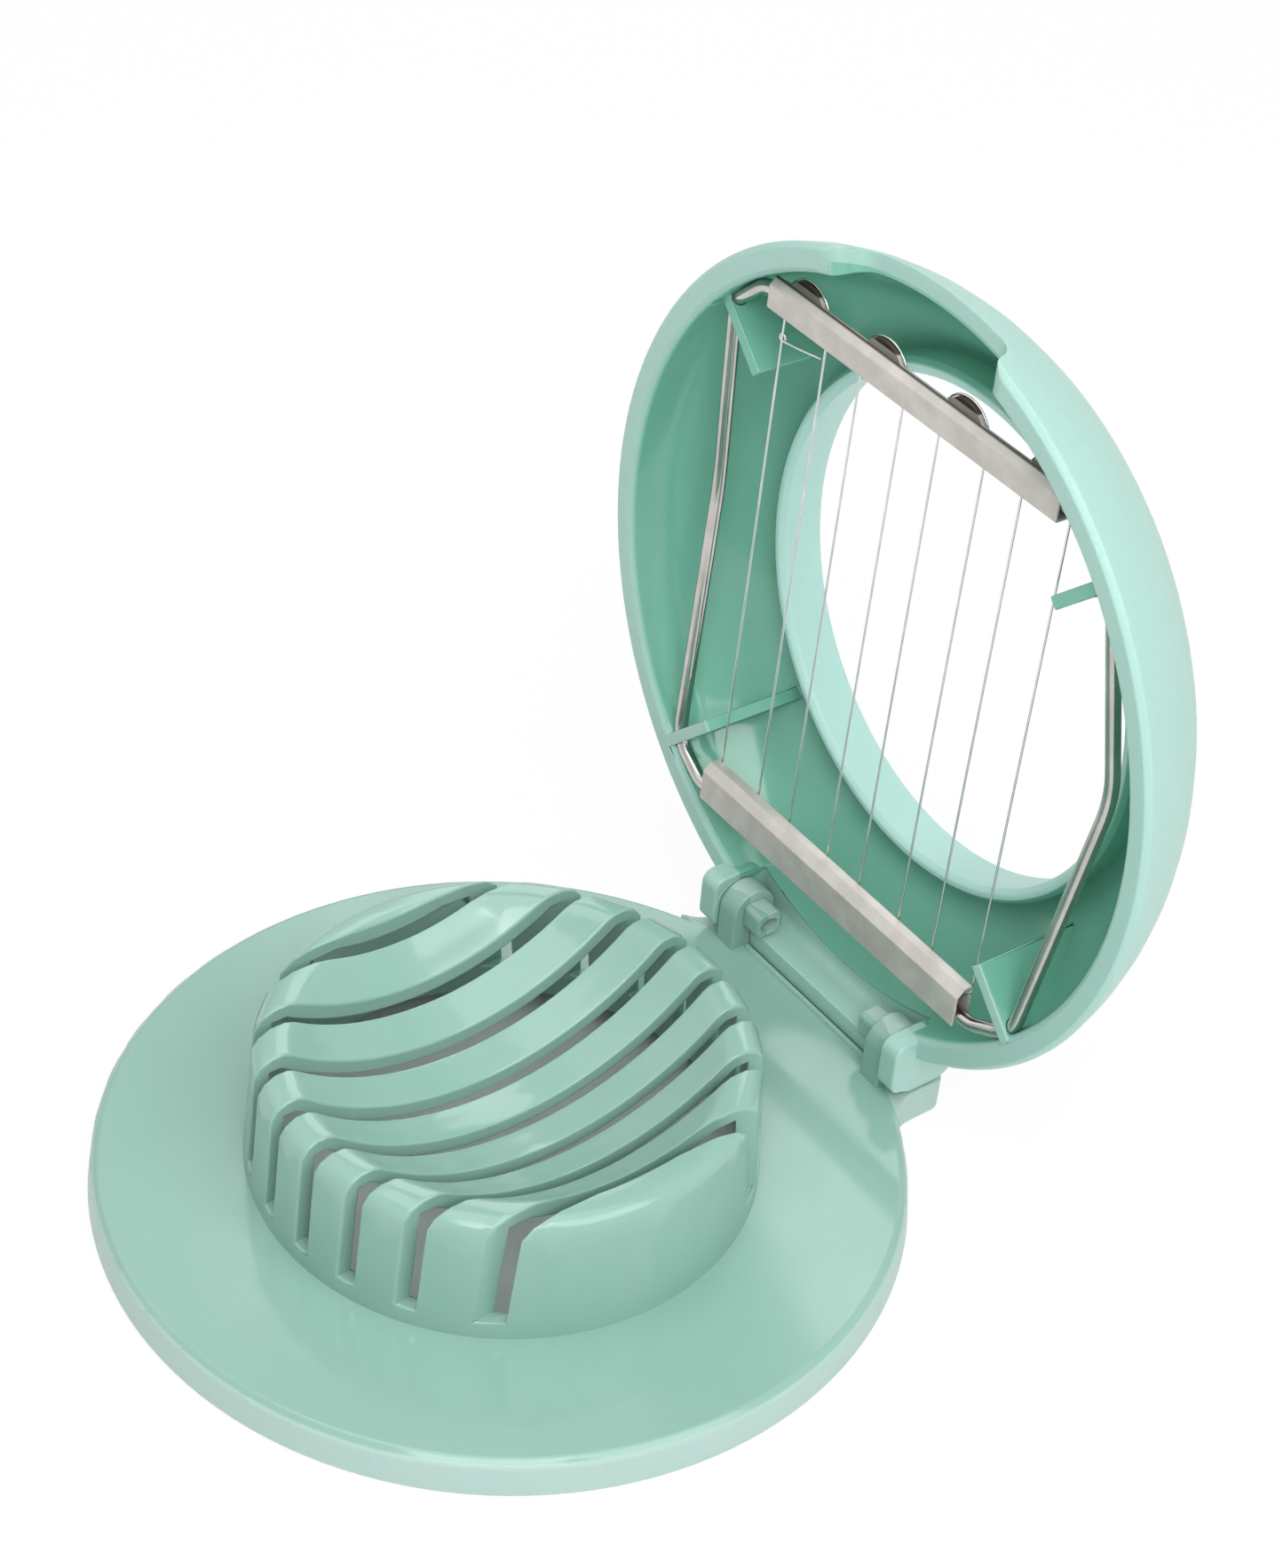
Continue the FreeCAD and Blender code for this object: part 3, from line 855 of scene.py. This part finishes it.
# plain white to the eye, pale to the light it returns
def buildFloor():
    form = floorForm
    half = form["half"]
    mesh = bpy.data.meshes.new("floor")
    corners = [(-half, -half, 0), (half, -half, 0), (half, half, 0), (-half, half, 0)]
    mesh.from_pydata(corners, [], [(0, 1, 2, 3)])
    floor = placeObject("floor", mesh)
    floor.location.z = -form["drop"]
    material, tree, shader = newMaterial("paleFloor")
    cloud = noiseNode(tree, objectPoint(tree), form["cloudScale"], 2)
    tree.links.new(mixColour(tree, cloud, *form["colours"]), shader.inputs["Base Color"])
    shader.inputs["Roughness"].default_value = form["roughness"]
    glow = addNode(tree, "ShaderNodeEmission")
    glow.inputs["Strength"].default_value = form["glow"]
    seen = addNode(tree, "ShaderNodeLightPath").outputs
    direct = mathNode(tree, "MAXIMUM", seen["Is Camera Ray"], seen["Is Glossy Ray"])
    start, full = (plateRadius - step for step in form["dark"])
    clear = rangeNode(tree, plateDistance(tree), start, full, 0, form["glowShare"])
    mix = addNode(tree, "ShaderNodeMixShader")
    tree.links.new(mathNode(tree, "MULTIPLY", direct, clear), mix.inputs[0])
    tree.links.new(shader.outputs[0], mix.inputs[1])
    tree.links.new(glow.outputs[0], mix.inputs[2])
    output = [node for node in tree.nodes if node.type == "OUTPUT_MATERIAL"][0]
    tree.links.new(mix.outputs[0], output.inputs[0])
    mesh.materials.append(material)


# soft studio light; places and sizes in metres, power in watts
lights = [
    {"name": "keyLight", "place": (0.68, 0.12, 0.75), "size": 0.6, "power": 4.0},
    {"name": "fillLight", "place": (-0.60, -0.45, 0.70), "size": 0.9, "power": 1.4},
    {"name": "backLight", "place": (-0.55, 0.55, 0.62), "size": 0.45, "power": 1.4},
    {"name": "frontLight", "place": (0.52, -0.38, 0.68), "size": 0.5, "power": 3.8},
    {"name": "topLight", "place": (0.05, -0.10, 1.00), "size": 0.8, "power": 3.5},
]
lightTarget = (0, 0, 50 * mm)


def buildLights():
    for light in lights:
        data = bpy.data.lights.new(light["name"], "AREA")
        data.size = light["size"]
        data.energy = light["power"]
        lamp = placeObject(light["name"], data)
        lamp.location = light["place"]
        lamp.rotation_euler = (Vector(lightTarget) - lamp.location).to_track_quat("-Z", "Y").to_euler()


# strength of the white surround to the eye, in mirrored light and as light
surround = {"seen": 0.97, "mirrored": 0.7, "light": 0.28}


def buildSurround():
    world = bpy.data.worlds.new("studio")
    world.use_nodes = True
    tree = world.node_tree
    sky = tree.nodes["Background"]
    sky.inputs["Color"].default_value = (1, 1, 1, 1)
    ray = addNode(tree, "ShaderNodeLightPath").outputs
    seen = mathNode(tree, "MULTIPLY", ray["Is Camera Ray"], surround["seen"])
    mirrored = mathNode(tree, "MULTIPLY", ray["Is Glossy Ray"], surround["mirrored"])
    direct = mathNode(tree, "MAXIMUM", seen, mirrored)
    tree.links.new(mathNode(tree, "MAXIMUM", direct, surround["light"]), sky.inputs["Strength"])
    bpy.context.scene.world = world


# the photograph's angle
cameraForm = {
    "place": (253.25 * mm, plateY - 189.66 * mm, 324.10 * mm),
    "ahead": (-0.60174, 0.49365, -0.62787),
    "right": (0.58644, 0.80676, 0.07226),
    "sensor": 36,
    "lens": 76.61,
}


def buildCamera():
    data = bpy.data.cameras.new("camera")
    data.sensor_width = cameraForm["sensor"]
    data.lens = cameraForm["lens"]
    camera = placeObject("camera", data)
    ahead = Vector(cameraForm["ahead"]).normalized()
    right = Vector(cameraForm["right"])
    right = (right - ahead * right.dot(ahead)).normalized()
    up = right.cross(ahead)
    turn = Matrix((right, up, -ahead)).transposed().to_4x4()
    camera.matrix_world = Matrix.Translation(Vector(cameraForm["place"])) @ turn
    bpy.context.scene.camera = camera


buildFloor()
buildLights()
buildSurround()
buildCamera()
bpy.context.scene.view_settings.view_transform = "Standard"
print("stage: light and camera set")
